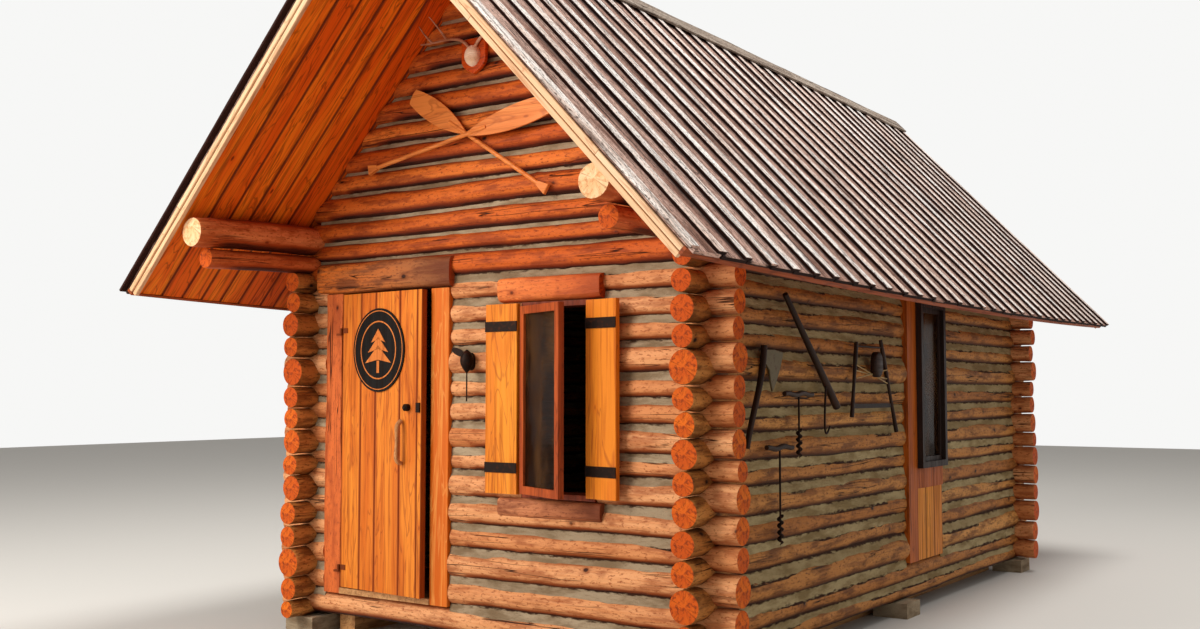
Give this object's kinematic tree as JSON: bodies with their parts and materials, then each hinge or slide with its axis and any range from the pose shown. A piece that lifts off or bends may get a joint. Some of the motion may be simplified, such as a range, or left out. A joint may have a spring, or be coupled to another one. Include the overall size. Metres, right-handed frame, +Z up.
{
  "type": "log cabin",
  "caption": "One-room log cabin with saddle-notched corners, a deep porch gable, board-and-batten roof, plank door and shuttered casement",
  "frame": {"origin": "on the ground under the middle of the four log walls", "axes": "+X to the right of the front wall, +Y to the back along the ridge, +Z up"},
  "size_m": [4.4326, 8.09, 4.5906],
  "materials": {
    "log_wood": "satin",
    "chinking": "matte",
    "weathered_boards": "matte",
    "pale_boards": "matte",
    "oiled_boards": "satin",
    "dark_frame": "satin",
    "pane": "gloss",
    "black_iron": "matte",
    "black_paint": "matte",
    "grey_wood": "matte"
  },
  "bodies": {
    "cabin": {"back_wall_logs": "log_wood", "crossed_paddles": "oiled_boards", "door_header": "log_wood", "door_hinge_pins": "black_iron", "door_jambs": "oiled_boards", "door_threshold": "oiled_boards", "eave_boards": "weathered_boards", "end_chinking": "chinking", "floor_beams": "oiled_boards", "floor_deck": "oiled_boards", "foundation_blocks": "grey_wood", "front_gable_logs": "log_wood", "front_logs_left": "log_wood", "front_logs_right": "log_wood", "front_sill_log": "log_wood", "gable_plaque": "pale_boards", "hand_tools": "black_iron", "left_wall_logs": "log_wood", "plate_logs": "log_wood", "rake_boards": "pale_boards", "ridge_cap": "weathered_boards", "ridge_pole": "log_wood", "right_wall_logs": "log_wood", "roof_boards": "weathered_boards", "roof_strapping": "pale_boards", "shutter_straps": "black_iron", "shutters": "oiled_boards", "side_chinking": "chinking", "side_panel": "oiled_boards", "side_post": "oiled_boards", "side_window_frame": "dark_frame", "side_window_sash": "dark_frame", "soffit_boards": "oiled_boards", "wall_ornament": "black_iron", "window_frame": "oiled_boards", "window_header": "log_wood", "window_panes": "pane", "window_sash": "oiled_boards", "window_sill": "log_wood"},
    "door": {"door_hinge_straps": "black_iron", "door_latch": "black_iron", "door_leaf": "oiled_boards", "door_ledges": "oiled_boards", "door_pull": "oiled_boards", "door_sign": "black_paint"}
  },
  "joints": [
    {"name": "door_swing", "type": "hinge", "parent": "cabin", "child": "door", "pos_m": [-1.214, -2.896, 1.2], "axis": [0, 0, -1], "range_deg": [-5, 95]}
  ]
}
